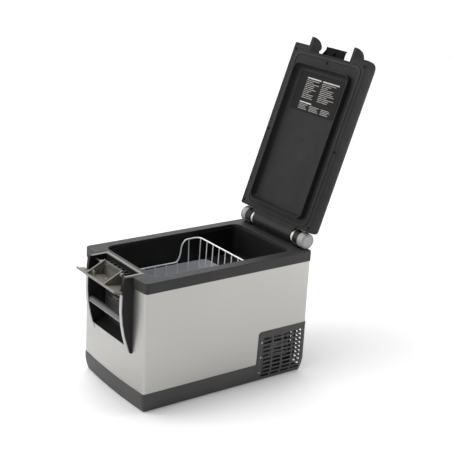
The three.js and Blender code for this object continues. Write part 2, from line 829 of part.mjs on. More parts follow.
// ---------- wire basket ----------
{
  const r = 22;
  const turn = (cx, cy, z, a0) =>
    [0, 1, 2, 3].map((i) => {
      const a = ((a0 + i * 30) * Math.PI) / 180;
      return [cx + r * Math.cos(a), cy + r * Math.sin(a), z];
    });
  const half = [
    [-1, BASKET_FRONT, BASKET_LOW],
    ...turn(BASKET_X - r, BASKET_FRONT + r, BASKET_LOW, -90),
    [BASKET_X, -2, BASKET_LOW],
    [BASKET_X, 8, BASKET_LOW + 3],
    [BASKET_X, 14, BASKET_LOW + 12],
    [BASKET_X, 20, BASKET_LOW + 60],
    [BASKET_X, 28, BASKET_LOW + 72],
    [BASKET_X, 38, BASKET_HIGH],
    ...turn(BASKET_X - r, BASKET_REAR - r, BASKET_HIGH, 0),
    [-1, BASKET_REAR, BASKET_HIGH],
  ];
  const other = half.map(([x, y, z]) => [-x, y, z]).reverse();
  const wires = [wire(half, 2.4), wire(other, 2.4)];
  const floor = BASKET_FLOOR;
  for (let i = 0; i < 7; i += 1) {
    const y = -216 + i * 44;
    const top = y > 30 ? BASKET_HIGH : BASKET_LOW;
    const side = [
      [BASKET_X, y, top],
      [BASKET_X - 8, y, floor + 14],
      [BASKET_X - 12, y, floor + 4],
      [BASKET_X - 22, y, floor],
    ];
    wires.push(wire([...side, ...side.map(([x, yy, z]) => [-x, yy, z]).reverse()], 1.9));
  }
  for (let i = 0; i < 8; i += 1) {
    const x = -126 + i * 36;
    const reach = Math.abs(x) > BASKET_X - r ? 4 : 0;
    wires.push(
      wire(
        [
          [x, BASKET_FRONT + reach, BASKET_LOW],
          [x, BASKET_FRONT + 8, floor + 12],
          [x, BASKET_FRONT + 12, floor + 1],
          [x, BASKET_FRONT + 22, floor - 3],
          [x, BASKET_REAR - 22, floor - 3],
          [x, BASKET_REAR - 12, floor + 1],
          [x, BASKET_REAR - 8, floor + 12],
          [x, BASKET_REAR - reach, BASKET_HIGH],
        ],
        1.9
      )
    );
  }
  addBody('wire_basket', union(wires), 'wire');
}

// ---------- machine space ----------
{
  const tray = union([
    box(-118, 60, 178, 308, 10, 12),
    box(-118, 60, 178, 180, 10, 20),
    box(-118, 60, 306, 308, 10, 20),
    ...[-96, 36].flatMap((x) => [196, 290].map((y) => rodZ(7.3, 22, x, y, 5, 10))),
  ]);
  addBody('compressor_tray', tray, 'painted');

  const can = lathe(
    [
      [0, 0],
      [40, 0],
      [55, 8],
      [58, 30],
      [58, 62],
      [60.5, 64],
      [60.5, 69],
      [58, 71],
      [57, 92],
      [48, 112],
      [28, 122],
      [0, 125],
    ],
    24
  ).translate([-30, 243, 26]);
  const legs = [-96, 36].flatMap((x) => [196, 290].map((y) => [x, y]));
  const feet = legs.map(([x, y]) => {
    const plate = box(x - 11, x + 11, y - 9, y + 9, 22.3, 25.3);
    const inward = box(Math.min(x, -30), Math.max(x, -30), Math.min(y, 243), Math.max(y, 243),
      22.3, 25.3);
    return plate.add(inward.intersect(rodZ(22.3, 25.3, -30, 243, 78, 12)));
  });
  const bolster = rodZ(22.3, 30, -30, 243, 44, 16);
  addBody('compressor', union([can, bolster, ...feet]), 'painted');

  addBody(
    'compressor_control_module',
    union([box(-128, -98, 212, 282, 60, 148), box(-132, -126, 222, 272, 70, 138)]),
    'blackPlastic'
  );

  const fins = [];
  for (let i = 0; i < 12; i += 1) fins.push(box(92, 118, 186, 304, 36 + i * 11, 37 + i * 11));
  const frame = [box(92, 118, 184, 186.5, 32, 162), box(92, 118, 303.5, 306, 32, 162)];
  const tubes = [57, 90, 123, 156].map((z) => rodY(185, 305, 105, z - 3, 3.5, 8));
  addBody('condenser', union([...fins, ...frame, ...tubes]), 'aluminium');
}
{
  // fan between the condenser and the compressor, blowing along X
  const y = 245;
  const z = 97;
  const shroud = cut(box(66, 90, y - 58, y + 58, z - 58, z + 58), rodX(64, 92, y, z, 53, 28));
  const spokes = [30, 150, 270].map((a) => {
    const t = (a * Math.PI) / 180;
    return extrudeX(
      [
        [-2.5, 0],
        [2.5, 0],
        [2.5, 55],
        [-2.5, 55],
      ].map(([u, v]) => [y + u * Math.cos(t) - v * Math.sin(t), z + u * Math.sin(t) + v * Math.cos(t)]),
      66,
      69
    );
  });
  const hub = rodX(66, 71, y, z, 17, 16);
  const shaft = rodX(70, 76, y, z, 3, 10);
  addBody('fan_frame', union([shroud, ...spokes, hub, shaft]), 'blackPlastic');
  const blades = [];
  for (let i = 0; i < 7; i += 1) {
    const g = new THREE.BoxGeometry(16, 2.2, 36);
    g.rotateZ(0.62);
    g.translate(0, 0, 33);
    g.rotateX((i * 2 * Math.PI) / 7);
    g.translate(80.5, y, z);
    blades.push(toSolid(g));
  }
  const boss = cut(rodX(72, 89, y, z, 19, 20), rodX(70, 76.4, y, z, 3.3, 10));
  addBody('fan_rotor', union([boss, ...blades]), 'blackPlastic');
}
{
  addBody(
    'filter_drier',
    lathe(
      [
        [0, 0],
        [3, 0],
        [3.5, 8],
        [9, 14],
        [9, 70],
        [3.5, 78],
        [3, 86],
        [0, 86],
      ],
      12
    ).translate([-150, 215, 60]),
    'copper'
  );
  addBody(
    'suction_pipe',
    wire(
      [
        [-30, 243, 151.6],
        [-30, 243, 168],
        [-34, 236, 182],
        [-48, 210, 194],
        [-70, 184, 204],
        [-74, 178, 216],
        [-74, 177, 240],
        [-74, 177, 288],
      ],
      4,
      8
    ),
    'copper'
  );
  addBody(
    'discharge_pipe',
    wire(
      [
        [20, 262, 146],
        [28, 262, 160],
        [44, 262, 172],
        [92, 262, 178],
        [104, 262, 174],
        [105, 250, 168.3],
        [105, 230, 166.5],
      ],
      3,
      8
    ),
    'copper'
  );
  const unit = union([
    box(-100, 60, 186, 286, 220, 262),
    ...[-80, -55, -30, -5, 20].map((x) => box(x, x + 4, 188, 284, 261, 270)),
  ]);
  addBody('mains_power_unit', cut(unit, box(-80, -68, 170, 186.5, 200, 300)), 'aluminium');
}

// ---------- rear panel and power inlets ----------
{
  const skin = cut(tuckedBody(55, 190, 0), tuckedBody(54, 191, 3));
  const panel = skin.intersect(
    box(-REAR_PANEL_X, REAR_PANEL_X, 300, 340, BASE_H + GAP, REAR_PANEL_TOP)
  );
  const slots = [];
  for (let row = 4; row < 10; row += 1) {
    const z = slotRow(row);
    for (const [x0, x1] of [[-124, -86], [-78, -40], [-32, 6], [104, 124]]) {
      slots.push(box(x0, x1, 300, 340, z, z + 9));
    }
  }
  const seats = [
    box(22.7, 51.3, 300, 340, 119.7, 146.3),
    box(62.7, 97.3, 300, 340, 119.7, 146.3),
    rodY(300, 340, 80, 96, 10.3, 16),
  ];
  addBody('rear_vent_panel', cut(panel, slots, seats), 'darkPlastic');
  const inlet = (x0, x1, pins) =>
    cut(
      box(x0, x1, 308, 331, 120, 146),
      box(x0 + 4, x1 - 4, 316, 340, 125, 141),
    ).add(union(pins.map((x) => rodY(310, 327, x, 133, 2, 8))));
  addBody('low_voltage_inlet', inlet(23, 51, [32, 42]), 'blackPlastic');
  addBody('mains_inlet', inlet(63, 97, [74, 86]), 'blackPlastic');
  addBody('fuse_cap', rodY(312, 335, 80, 96, 10, 16).subtract(box(70, 90, 334, 336, 95, 97)),
    'blackPlastic');
}

// ---------- interior lamp ----------
addBody('interior_lamp', box(145.5, LINER_X - GAP, -24, 24, 392, 408), 'lens');

export default fridge;
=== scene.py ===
"""Looks of a portable compressor fridge.

Materials, fine pieces, floor, light and camera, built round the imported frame.
Lengths are millimetres in the fine pieces, and metres in lights, bevels and materials.
"""

import json
import math

import bpy
from mathutils import Matrix, Vector


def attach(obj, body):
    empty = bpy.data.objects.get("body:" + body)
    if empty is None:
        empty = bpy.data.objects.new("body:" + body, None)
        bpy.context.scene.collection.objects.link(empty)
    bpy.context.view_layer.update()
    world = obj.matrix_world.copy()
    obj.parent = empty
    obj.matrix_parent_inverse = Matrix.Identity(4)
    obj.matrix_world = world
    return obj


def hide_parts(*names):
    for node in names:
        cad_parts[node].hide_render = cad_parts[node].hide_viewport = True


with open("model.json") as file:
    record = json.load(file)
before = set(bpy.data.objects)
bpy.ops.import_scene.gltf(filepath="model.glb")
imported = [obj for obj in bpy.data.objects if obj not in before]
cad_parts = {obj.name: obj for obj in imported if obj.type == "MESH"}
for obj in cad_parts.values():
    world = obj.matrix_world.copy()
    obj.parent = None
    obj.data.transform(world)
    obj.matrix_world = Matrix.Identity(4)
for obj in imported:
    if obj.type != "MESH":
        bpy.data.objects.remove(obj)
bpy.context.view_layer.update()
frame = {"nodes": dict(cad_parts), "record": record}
NODES = frame["nodes"]
MM = 0.001


# ---------- camera ----------
AZIMUTH, ELEVATION, ROLL = 53.73, 18.77, 3.19  # degrees
DISTANCE = 3.666
LENS = 87.93
LOOK_AT = Vector((0, 0, 0.3))
SIDEWAYS, UPWARDS = 0.09205, 0.20179  # how far the picture's middle lies from LOOK_AT


def make_camera():
    az, el, roll = (math.radians(a) for a in (AZIMUTH, ELEVATION, ROLL))
    back = Vector((math.sin(az) * math.cos(el), -math.cos(az) * math.cos(el), math.sin(el)))
    level = Vector((math.cos(az), math.sin(az), 0))
    upright = back.cross(level)
    right = level * math.cos(roll) + upright * math.sin(roll)
    up = upright * math.cos(roll) - level * math.sin(roll)
    camera = bpy.data.objects.new("camera", bpy.data.cameras.new("camera"))
    bpy.context.scene.collection.objects.link(camera)
    camera.data.lens = LENS
    camera.data.clip_end = 50
    place = LOOK_AT + right * SIDEWAYS + up * UPWARDS + back * DISTANCE
    camera.matrix_world = Matrix((right, up, back)).transposed().to_4x4()
    camera.location = place
    bpy.context.scene.camera = camera


# ---------- light and floor ----------
DARK_SIDE = Vector((0.93, 0.05, 0.3)).normalized()  # where the room is dark
WORLD_BRIGHT, WORLD_DARK = 1.45, 0.03  # background strength in the light and in the dark
DARK_FROM, DARK_FULL = 0.22, 0.85  # cosine to DARK_SIDE at which the dark starts and is full
FLOOR_HALF, FLOOR_DROP = 60, 0.0005


def area_light(name, place, target, size, power):
    light = bpy.data.lights.new(name, "AREA")
    light.shape = "RECTANGLE"
    light.size, light.size_y = size
    light.energy = power
    lamp = bpy.data.objects.new(name, light)
    bpy.context.scene.collection.objects.link(lamp)
    lamp.location = place
    lamp.visible_camera = False
    lamp.rotation_euler = (Vector(target) - Vector(place)).to_track_quat("-Z", "Y").to_euler()


def studio_world():
    """White all round, except for a dark side of the room towards +X."""
    world = bpy.data.worlds.new("studio")
    world.use_nodes = True
    tree = world.node_tree
    towards = tree.nodes.new("ShaderNodeTexCoord")
    dot = tree.nodes.new("ShaderNodeVectorMath")
    dot.operation = "DOT_PRODUCT"
    dot.inputs[1].default_value = DARK_SIDE
    share = tree.nodes.new("ShaderNodeMapRange")
    share.interpolation_type = "SMOOTHSTEP"
    share.inputs["From Min"].default_value = DARK_FROM
    share.inputs["From Max"].default_value = DARK_FULL
    share.inputs["To Min"].default_value = WORLD_BRIGHT
    share.inputs["To Max"].default_value = WORLD_DARK
    back = tree.nodes["Background"]
    back.inputs["Color"].default_value = (1, 1, 1, 1)
    tree.links.new(towards.outputs["Generated"], dot.inputs[0])
    tree.links.new(dot.outputs["Value"], share.inputs["Value"])
    tree.links.new(share.outputs["Result"], back.inputs["Strength"])
    bpy.context.scene.world = world


def make_studio():
    studio_world()
    bpy.context.scene.view_settings.view_transform = "Standard"
    area_light("key", (-1.7, -2.6, 1.9), (0, -0.2, 0.25), (1.6, 1.4), 22)
    area_light("low_side", (1.7, 2.7, 0.5), (0.19, 0.3, 0.25), (1.2, 0.8), 27)
    area_light("top", (-0.2, -0.3, 2.4), (0, -0.05, 0.2), (0.9, 0.9), 13)
    half = FLOOR_HALF
    corners = [(-half, -half, 0), (half, -half, 0), (half, half, 0), (-half, half, 0)]
    floor = new_mesh("floor", corners, [(0, 1, 2, 3)])
    floor.location.z = -FLOOR_DROP
    floor.data.materials.append(floor_material())


def new_mesh(name, points, faces):
    mesh = bpy.data.meshes.new(name)
    mesh.from_pydata(points, [], faces)
    mesh.update()
    made = bpy.data.objects.new(name, mesh)
    bpy.context.scene.collection.objects.link(made)
    return made


# ---------- materials ----------
class Look:
    """A Principled material that is built up node by node."""

    def __init__(self, name, **fixed):
        self.material = bpy.data.materials.new(name)
        self.material.use_nodes = True
        self.tree = self.material.node_tree
        self.shader = self.tree.nodes["Principled BSDF"]
        for socket, value in fixed.items():
            self.shader.inputs[socket.replace("_", " ")].default_value = value
        self.place = self.node("TexCoord").outputs["Object"]

    def node(self, kind, **settings):
        made = self.tree.nodes.new("ShaderNode" + kind)
        for key, value in settings.items():
            setattr(made, key, value)
        return made

    def put(self, socket, value):
        if isinstance(value, bpy.types.NodeSocket):
            self.tree.links.new(value, socket)
        else:
            socket.default_value = value

    def stretched(self, scale):
        made = self.node("Mapping")
        self.put(made.inputs["Vector"], self.place)
        made.inputs["Scale"].default_value = scale
        return made.outputs["Vector"]

    def noise(self, scale, detail=3, roughness=0.5, stretch=None):
        made = self.node("TexNoise")
        self.put(made.inputs["Vector"], self.stretched(stretch) if stretch else self.place)
        made.inputs["Scale"].default_value = scale
        made.inputs["Detail"].default_value = detail
        made.inputs["Roughness"].default_value = roughness
        return made.outputs["Fac"]

    def cells(self, scale):
        made = self.node("TexVoronoi")
        self.put(made.inputs["Vector"], self.place)
        made.inputs["Scale"].default_value = scale
        return made.outputs["Distance"]

    def spread(self, value, low, high, start=0.3, end=0.7):
        made = self.node("MapRange")
        self.put(made.inputs["Value"], value)
        limits = {"From Min": start, "From Max": end, "To Min": low, "To Max": high}
        for key, number in limits.items():
            made.inputs[key].default_value = number
        return made.outputs["Result"]

    def maths(self, operation, a, b):
        made = self.node("Math", operation=operation)
        self.put(made.inputs[0], a)
        self.put(made.inputs[1], b)
        return made.outputs[0]

    def mix(self, share, a, b):
        made = self.node("Mix", data_type="RGBA")
        self.put(made.inputs["Factor"], share)
        self.put(made.inputs[6], a)
        self.put(made.inputs[7], b)
        return made.outputs[2]

    def edges(self, radius, reach=0.25):
        """1 along convex edges and corners, 0 on flat ground."""
        soft = self.node("Bevel", samples=4)
        soft.inputs["Radius"].default_value = radius
        true = self.node("NewGeometry")
        dot = self.node("VectorMath", operation="DOT_PRODUCT")
        self.put(dot.inputs[0], soft.outputs["Normal"])
        self.put(dot.inputs[1], true.outputs["True Normal"])
        return self.spread(dot.outputs["Value"], 1, 0, 1 - reach, 1 - reach * 0.12)

    def bumps(self, *layers):
        """Each layer is (height, strength, distance in metres)."""
        normal = None
        for height, strength, distance in layers:
            made = self.node("Bump")
            self.put(made.inputs["Height"], height)
            made.inputs["Strength"].default_value = strength
            made.inputs["Distance"].default_value = distance
            if normal:
                self.put(made.inputs["Normal"], normal)
            normal = made.outputs["Normal"]
        self.put(self.shader.inputs["Normal"], normal)

    def colour(self, value):
        self.put(self.shader.inputs["Base Color"], value)

    def roughness(self, value):
        self.put(self.shader.inputs["Roughness"], value)


def shade(colour, factor):
    return (colour[0] * factor, colour[1] * factor, colour[2] * factor, 1)


def moulded_plastic(
    name, colour, roughness, grain=900, grain_depth=0.00006, wear_and_highlight=1.6, specular=0.5
):
    """Injection-moulded plastic: spark-eroded grain, slight flow marks, edges lighter from rubbing
    and from a painted highlight.
    """
    look = Look(name, Specular_IOR_Level=specular)
    flow = look.noise(9, 4, 0.6)
    cloud = look.mix(look.spread(flow, 0, 1), shade(colour, 0.86), shade(colour, 1.14))
    patches = look.spread(look.noise(60, 5, 0.7), 0.1, 0.8)
    # convex edges made lighter in random patches: partly wear, partly a painted highlight where
    # edges catch the light
    worn_and_lit_edges = look.maths("MULTIPLY", look.edges(0.0012), patches)
    look.colour(look.mix(worn_and_lit_edges, cloud, shade(colour, wear_and_highlight)))
    pits = look.cells(grain)
    fine = look.noise(grain * 2.2, 2)
    scuffs = look.spread(look.noise(28, 6, 0.75), -0.06, 0.08)
    look.roughness(look.maths("ADD", scuffs, roughness))
    look.bumps((pits, 0.5, grain_depth), (fine, 0.35, grain_depth * 0.6), (flow, 0.12, 0.0004))
    return look.material


def brushed_metal(name, colour, roughness, grain, depth=0.00002, stains=0.04, metallic=1.0):
    """Sheet with fine parallel scratches; grain is how tightly they lie along X, Y and Z."""
    look = Look(name, Metallic=metallic)
    streaks = look.noise(1, 3, 0.6, grain)
    wide = look.noise(1, 2, 0.5, tuple(g * 0.13 for g in grain))
    cloud = look.noise(3.5, 3, 0.5)
    both = look.maths("ADD", look.spread(streaks, -0.5, 0.5), look.spread(wide, -0.3, 0.3))
    stained = look.maths("MULTIPLY", both, stains)
    tone = look.maths("ADD", stained, look.spread(cloud, 0.46, 0.54))
    look.colour(look.mix(tone, shade(colour, 0.8), shade(colour, 1.2)))
    look.roughness(look.maths("ADD", look.maths("MULTIPLY", both, 0.09), roughness))
    look.bumps((streaks, 0.35, depth))
    return look.material


def painted_metal(name, colour, roughness):
    """Powder coat: low orange peel, dust and a few chips on the edges."""
    look = Look(name)
    peel = look.noise(420, 2)
    dust = look.spread(look.noise(14, 5, 0.65), 0, 0.5)
    specks = look.spread(look.noise(160, 4, 0.7), 0, 1, 0.5, 0.6)
    chips = look.maths("MULTIPLY", look.edges(0.0008), specks)
    dusty = look.mix(dust, shade(colour, 1), shade(colour, 1.25))
    look.colour(look.mix(chips, dusty, shade(colour, 1.9)))
    look.roughness(look.spread(peel, roughness - 0.05, roughness + 0.07))
    look.bumps((peel, 0.3, 0.00008))
    return look.material


def rubber_look(name):
    look = Look(name, Specular_IOR_Level=0.35)
    grit = look.noise(700, 3)
    bloom = look.spread(look.noise(22, 5, 0.7), 0, 1)
    look.colour(look.mix(bloom, (0.010, 0.010, 0.010, 1), (0.022, 0.022, 0.021, 1)))
    look.roughness(look.spread(grit, 0.72, 0.92))
    look.bumps((grit, 0.4, 0.00008))
    return look.material


def foam_look(name):
    look = Look(name, Specular_IOR_Level=0.2)
    pores = look.cells(380)
    # pores darker towards their middle: painted shade inside the pores
    depth = look.spread(pores, 0, 1, 0, 0.6)
    look.colour(look.mix(depth, (0.42, 0.35, 0.18, 1), (0.72, 0.64, 0.42, 1)))
    look.roughness(look.spread(look.noise(90, 3), 0.85, 0.98))
    look.bumps((pores, 0.8, 0.0006))
    return look.material


def glass_look(name, colour, roughness):
    look = Look(name, Coat_Weight=0.6, Coat_Roughness=0.04)
    smears = look.noise(34, 6, 0.7)
    look.colour(look.mix(look.spread(smears, 0, 1), shade(colour, 0.9), shade(colour, 1.15)))
    look.roughness(look.spread(smears, roughness, roughness + 0.12))
    look.bumps((look.noise(160, 2), 0.08, 0.00005))
    return look.material


def floor_material():
    white = (1, 1, 1, 1)
    glow = {"Emission_Color": white, "Emission_Strength": 0.05}
    look = Look("floor_paint", Specular_IOR_Level=0.0, **glow)
    cloud = look.spread(look.noise(2.5, 3), 0, 1)
    look.colour(look.mix(cloud, shade(white, 0.93), shade(white, 0.95)))
    look.roughness(look.spread(look.noise(40, 2), 0.9, 0.96))
    return look.material


FINE = 0.00002  # grain depth of smooth mouldings, in metres
MATERIALS = {
    "rubber": rubber_look("rubber"),
    "foam": foam_look("foam"),
    "window": glass_look("window", (0.004, 0.010, 0.013), 0.06),
    "lens": glass_look("lens", (0.72, 0.74, 0.74), 0.2),
    "coated_wire": painted_metal("coated_wire", (0.86, 0.855, 0.84), 0.3),
    "painted_black": painted_metal("painted_black", (0.018, 0.018, 0.019), 0.4),
}


def add_plastic(name, *settings, **more):
    MATERIALS[name] = moulded_plastic(name, *settings, **more)


def add_metal(name, *settings, **more):
    MATERIALS[name] = brushed_metal(name, *settings, **more)


add_plastic("dark_plastic", (0.024, 0.0242, 0.0245), 0.5, specular=0.3)
add_plastic("base_plastic", (0.050, 0.050, 0.0505), 0.5, specular=0.3)
add_plastic("lid_plastic", (0.0135, 0.0135, 0.014), 0.55, specular=0.15)
add_plastic("black_plastic", (0.0105, 0.0105, 0.011), 0.45, 1300, 0.00003, specular=0.2)
# near black: painted shadow on the lid catch, and on the lid screws their own black with painted
# shade of the recesses they sit in
add_plastic("black_and_painted_shade", (0.003, 0.003, 0.003), 0.6, specular=0.06)
add_plastic("grey_trim", (0.36, 0.36, 0.355), 0.4, 1500, FINE, 1.25)
add_plastic("cap_grey", (0.27, 0.27, 0.265), 0.42, 1500, FINE, 1.25)
add_plastic("grip_grey", (0.085, 0.085, 0.083), 0.5, 1100, 0.00005, 1.3)
# latch_grey: edges 2.4 times lighter, mostly a painted highlight along the lever's bright arm
# edges, with some wear
add_plastic("latch_grey", (0.15, 0.142, 0.122), 0.36, 1500, FINE, 2.4)
add_plastic("nylon", (0.72, 0.71, 0.67), 0.4, 1500, FINE, 1.1)
add_plastic("print", (0.42, 0.41, 0.40), 0.5, 2200, FINE / 2, 1.1)
add_plastic("print_faint", (0.27, 0.26, 0.25), 0.5, 2200, FINE / 2, 1.1)
add_plastic("label", (0.004, 0.004, 0.0045), 0.4, 2200, FINE / 2, 1.2, 0.1)
add_metal("body_steel", (0.42, 0.415, 0.402), 0.35, (3, 3, 900))
add_metal("pin_steel", (0.55, 0.55, 0.54), 0.3, (4, 900, 900))
add_metal("cold_plate", (0.74, 0.76, 0.80), 0.5, (5, 5, 260), 0.00003, metallic=0.3)
add_metal("fin_aluminium", (0.55, 0.56, 0.58), 0.42, (300, 12, 300))
add_metal("copper", (0.72, 0.33, 0.18), 0.3, (60, 60, 60), 0.00004, 0.3)

# nodes whose look differs from what their slot says
SPECIAL = {
    "lid_shell": "lid_plastic",
    "lid_liner": "lid_plastic",
    "base_tray": "base_plastic",
    "vent_cover_right": "base_plastic",
    "vent_cover_left": "base_plastic",
    "rear_vent_panel": "base_plastic",
    "front_grip_bar": "grip_grey",
    "rear_grip_bar": "grip_grey",
    "hinge_cap_right": "cap_grey",
    "hinge_cap_left": "cap_grey",
    "latch_pin": "painted_black",
    # the lid catch is painted near black for the shadow it lies in
    "lid_catch": "black_and_painted_shade",
}


# ---------- CAD nodes that stay ----------
SHARP = math.radians(31)
BEVELLED = math.radians(35)
FLAT = math.radians(0.4)


def smoothing_group():
    """Geometry nodes that shade faces smooth and keep edges over SHARP sharp."""
    group = bpy.data.node_groups.new("smooth_by_angle", "GeometryNodeTree")
    group.interface.new_socket("Geometry", in_out="INPUT", socket_type="NodeSocketGeometry")
    group.interface.new_socket("Geometry", in_out="OUTPUT", socket_type="NodeSocketGeometry")
    nodes, links = group.nodes, group.links
    source = nodes.new("NodeGroupInput")
    result = nodes.new("NodeGroupOutput")
    faces = nodes.new("GeometryNodeSetShadeSmooth")
    edges = nodes.new("GeometryNodeSetShadeSmooth")
    edges.domain = "EDGE"
    angle = nodes.new("GeometryNodeInputMeshEdgeAngle")
    below = nodes.new("FunctionNodeCompare")
    below.data_type = "FLOAT"
    below.operation = "LESS_THAN"
    below.inputs[1].default_value = SHARP
    links.new(source.outputs[0], faces.inputs["Geometry"])
    links.new(faces.outputs[0], edges.inputs["Geometry"])
    links.new(angle.outputs["Unsigned Angle"], below.inputs[0])
    links.new(below.outputs[0], edges.inputs["Shade Smooth"])
    links.new(edges.outputs[0], result.inputs[0])
    return group


SMOOTHING = smoothing_group()


def soften(piece, bevel):
    """Welds, joins coplanar triangles, rounds sharp edges and shades curved faces smooth."""
    weld = piece.modifiers.new("weld", "WELD")
    weld.merge_threshold = 0.00001
    if bevel:
        flat = piece.modifiers.new("flat", "DECIMATE")
        flat.decimate_type = "DISSOLVE"
        flat.angle_limit = FLAT
        edge = piece.modifiers.new("edge", "BEVEL")
        edge.width = bevel
        edge.segments = 2
        edge.limit_method = "ANGLE"
        edge.angle_limit = BEVELLED
        edge.use_clamp_overlap = False
        edge.miter_outer = "MITER_ARC"
    smooth = piece.modifiers.new("smooth", "NODES")
    smooth.node_group = SMOOTHING
    normal = piece.modifiers.new("normal", "WEIGHTED_NORMAL")
    normal.keep_sharp = True


# rounding of the sharp edges, in metres: the nodes that have each width
ROUNDINGS = {
    0.0012: ["lid_liner"],
    0.0009: ["lid_shell"],
    0.0008: ["top_rim"],
    0.0006: ["base_tray", "lid_hinge_barrel", "front_handle_housing", "rear_handle_housing"],
    0.0005: ["latch_lever", "front_bezel", "rear_bezel", "control_panel", "lid_catch"],
}
for part in ("knuckle", "cap", "washer"):
    ROUNDINGS[0.0006] += [f"hinge_{part}_{side}" for side in ("right", "left")]
ROUNDED = {name: width for width, names in ROUNDINGS.items() for name in names}


def dress_cad_nodes():
    slots = {row["node"]: row["material_slot"] for row in frame["record"]["subparts"]}
    for name, node in NODES.items():
        material = MATERIALS[SPECIAL.get(name, slots[name])]
        node.data.materials.clear()
        node.data.materials.append(material)
        soften(node, ROUNDED.get(name, 0.0))


# ---------- helpers for fine pieces ----------
HINGE_Y, HINGE_Z = 313, 463
HINGE = Vector((0, HINGE_Y, HINGE_Z)) * MM
OPENED = math.radians(-109.5)
LID_FROM_CLOSED = (
    Matrix.Translation(HINGE) @ Matrix.Rotation(OPENED, 4, "X") @ Matrix.Translation(-HINGE)
)
SUNK = 0.3  # how deep the foot of a fine piece lies in what carries it


def finish_piece(piece, material, body, matrix=None):
    """Gives the piece its material, place and body."""
    piece.data.materials.append(MATERIALS[material])
    if matrix:
        piece.data.transform(matrix)
    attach(piece, body)
    return piece


def round_edges(piece, width, segments):
    edge = piece.modifiers.new("edge", "BEVEL")
    edge.width = width * MM
    edge.segments = segments


BOX_FACES = [(0, 3, 2, 1), (4, 5, 6, 7), (0, 1, 5, 4), (1, 2, 6, 5), (2, 3, 7, 6), (3, 0, 4, 7)]


def boxes(name, list_of_boxes, material, body, matrix=None):
    """One piece of many small blocks, each ((x0, y0, z0), (x1, y1, z1)) in millimetres."""
    points, faces = [], []
    for (x0, y0, z0), (x1, y1, z1) in list_of_boxes:
        at = len(points)
        for z in (z0, z1):
            points += [(x0, y0, z), (x1, y0, z), (x1, y1, z), (x0, y1, z)]
        faces += [tuple(at + i for i in face) for face in BOX_FACES]
    piece = new_mesh(name, [Vector(p) * MM for p in points], faces)
    return finish_piece(piece, material, body, matrix)


def prism(name, outline, ends, lift, material, body, slot):
    """A straight bar with any outline; lift turns a point of it and an end into (x, y, z).

    The outline runs anticlockwise when it is seen from the second end."""
    count = len(outline)
    points = [lift(a, b, end) for end in ends for a, b in outline]
    faces = [tuple(reversed(range(count))), tuple(range(count, 2 * count))]
    for i in range(count):
        j = (i + 1) % count
        faces.append((i, j, count + j, count + i))
    piece = new_mesh(name, [Vector(p) * MM for p in points], faces)
    return finish_piece(piece, material, body)


def turned(rings, sides, centre, normal):
    """Points and faces of a closed turned shape in millimetres.

    A ring is (radius, height), and the first and last have radius 0. A ring between them may
    carry a function of x and y that lowers its points."""
    spin = Vector((0, 0, 1)).rotation_difference(Vector(normal)).to_matrix()
    centre = Vector(centre)
    points = [centre + spin @ Vector((0, 0, rings[0][1]))]
    for radius, height, *sink in rings[1:-1]:
        for i in range(sides):
            turn = 2 * math.pi * i / sides
            x, y = radius * math.cos(turn), radius * math.sin(turn)
            drop = sink[0](x, y) if sink else 0
            points.append(centre + spin @ Vector((x, y, height - drop)))
    points.append(centre + spin @ Vector((0, 0, rings[-1][1])))
    count, last = len(rings) - 2, len(points) - 1
    faces = []
    for i in range(sides):
        j = (i + 1) % sides
        faces.append((0, 1 + i, 1 + j))
        for k in range(count - 1):
            a, b = 1 + k * sides, 1 + (k + 1) * sides
            faces.append((a + i, b + i, b + j, a + j))
        end = 1 + (count - 1) * sides
        faces.append((last, end + j, end + i))
    return points, faces


def gather(name, shapes, material, body, matrix=None):
    """One piece of several closed shapes in millimetres."""
    points, faces = [], []
    for shape_points, shape_faces in shapes:
        at = len(points)
        points += [Vector(p) * MM for p in shape_points]
        faces += [tuple(at + i for i in face) for face in shape_faces]
    piece = new_mesh(name, points, faces)
    modifier = piece.modifiers.new("smooth", "NODES")
    modifier.node_group = SMOOTHING
    return finish_piece(piece, material, body, matrix)


def screw_head(centre, normal, radius, tall):
    """A pan head with a cross recess."""
    arm, slim = radius * 0.58, radius * 0.15

    def cross(x, y):
        inside = (abs(x) < arm and abs(y) < slim) or (abs(y) < arm and abs(x) < slim)
        return tall * 0.7 if inside else 0

    crown = ((0.8, 0.92), (0.62, 0.99), (0.54, 1), (0.4, 1), (0.25, 1), (0.12, 1))
    rings = [(0, -SUNK), (radius, -SUNK), (radius, tall * 0.45), (radius * 0.93, tall * 0.75)]
    rings += [(radius * out, tall * up, cross) for out, up in crown]
    rings.append((0, tall * 0.3))
    return turned(rings, 32, centre, normal)


def disc(centre, normal, radius, height):
    edge = 0.3
    rings = [(0, -SUNK), (radius, -SUNK), (radius, height - edge), (radius - edge, height)]
    return turned(rings + [(0, height)], 28, centre, normal)


# ---------- wire basket ----------
def fillet(points, radius, steps=6):
    """The same route with its corners turned on round bends."""
    made = [Vector(points[0])]
    for before, corner, after in zip(points, points[1:], points[2:]):
        before, corner, after = Vector(before), Vector(corner), Vector(after)
        reach = min(radius, (before - corner).length * 0.49, (after - corner).length * 0.49)
        start = corner + (before - corner).normalized() * reach
        end = corner + (after - corner).normalized() * reach
        for i in range(steps + 1):
            t = i / steps
            made.append(start * (1 - t) ** 2 + corner * 2 * t * (1 - t) + end * t * t)
    made.append(Vector(points[-1]))
    return made


def wires(name, routes, material, body):
    """routes is a list of (points, wire radius, closed), in millimetres."""
    curve = bpy.data.curves.new(name, "CURVE")
    curve.dimensions = "3D"
    curve.bevel_depth = 1.0
    curve.bevel_resolution = 3
    curve.use_fill_caps = True
    for points, radius, closed in routes:
        spline = curve.splines.new("POLY")
        spline.points.add(len(points) - 1)
        for at, point in zip(spline.points, points):
            at.co = (*(Vector(point) * MM), 1)
            at.radius = radius * MM
        spline.use_cyclic_u = closed
        spline.use_smooth = True
    made = bpy.data.objects.new(name, curve)
    bpy.context.scene.collection.objects.link(made)
    return finish_piece(made, material, body)


